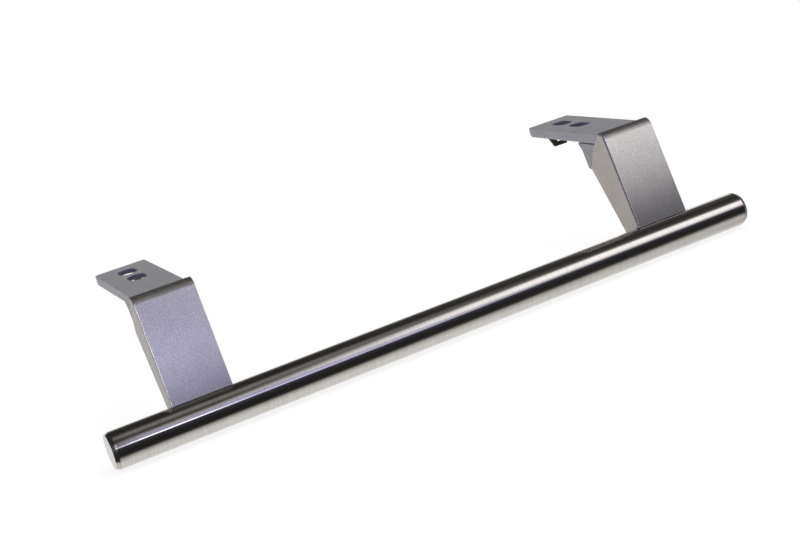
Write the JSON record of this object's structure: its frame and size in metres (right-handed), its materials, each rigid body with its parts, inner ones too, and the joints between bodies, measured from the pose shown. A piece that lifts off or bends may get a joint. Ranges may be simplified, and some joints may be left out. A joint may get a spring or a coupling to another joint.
{
  "type": "refrigerator door handle",
  "caption": "Straight round bar on cranked arms with slotted feet, a pull handle for a refrigerator door.",
  "frame": {"origin": "middle of the four foot slots, on the flat top of the feet that goes against the door", "axes": "+Z from the handle into the door, +Y along the bar, +X from the slots towards the bar"},
  "size_m": [0.1166, 0.392, 0.0755],
  "materials": {
    "brushed_bar": "ground, with fine rings around the bar",
    "foot_casting": "satin metallic grey",
    "shell_casting": "satin metallic, warm grey",
    "satin_trim": "satin with a fine sparkle",
    "plated_steel": "zinc plated",
    "spring_steel": "blackened spring steel",
    "adhesive_pad": "matt foam tape"
  },
  "bodies": {
    "root": {"bar_tube": "brushed_bar", "end_cap_left": "brushed_bar", "end_cap_right": "brushed_bar", "bar_anchor_left": "plated_steel", "bar_anchor_right": "plated_steel", "foot_bracket_left": "foot_casting", "foot_bracket_right": "foot_casting", "arm_shell_left": "shell_casting", "arm_shell_right": "shell_casting", "front_trim_left": "satin_trim", "front_trim_right": "satin_trim", "trim_pad_left": "adhesive_pad", "trim_pad_right": "adhesive_pad", "shell_screws_left": "plated_steel", "shell_screws_right": "plated_steel", "bar_washers_left": "plated_steel", "bar_washers_right": "plated_steel", "bar_screws_left": "plated_steel", "bar_screws_right": "plated_steel", "spring_clip_left": "spring_steel", "spring_clip_right": "spring_steel"}
  },
  "joints": []
}
